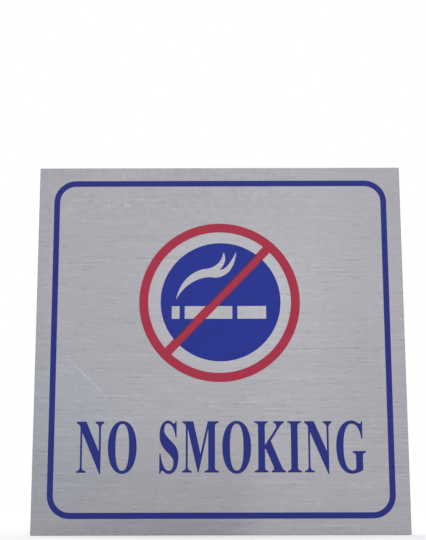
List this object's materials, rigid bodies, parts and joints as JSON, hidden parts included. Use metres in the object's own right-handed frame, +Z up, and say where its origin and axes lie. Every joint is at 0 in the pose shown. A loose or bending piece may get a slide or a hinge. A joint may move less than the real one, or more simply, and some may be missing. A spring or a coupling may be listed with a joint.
{
  "type": "no smoking sign",
  "caption": "Square brushed aluminium wall sign with a printed border line and a barred ring over a cigarette and its smoke, stuck up by a foam adhesive pad.",
  "frame": {"origin": "the middle of the back, on the plane of the wall that the sign is stuck to", "axes": "+Z up, +Y into the wall, +X to the right for someone who reads the sign; the printed face looks along -Y"},
  "size_m": [0.09, 0.0021, 0.09],
  "materials": {
    "brushed_aluminium": "satin",
    "white_foam": "matte",
    "liner_paper": "satin",
    "blue_ink": "satin",
    "red_ink": "satin"
  },
  "bodies": {
    "root": {"sign_plate": "brushed_aluminium", "adhesive_pad": "white_foam", "release_liner_upper": "liner_paper", "release_liner_lower": "liner_paper", "border_print": "blue_ink", "disc_print_upper": "blue_ink", "disc_print_lower": "blue_ink", "ring_and_bar_print": "red_ink"}
  },
  "joints": []
}
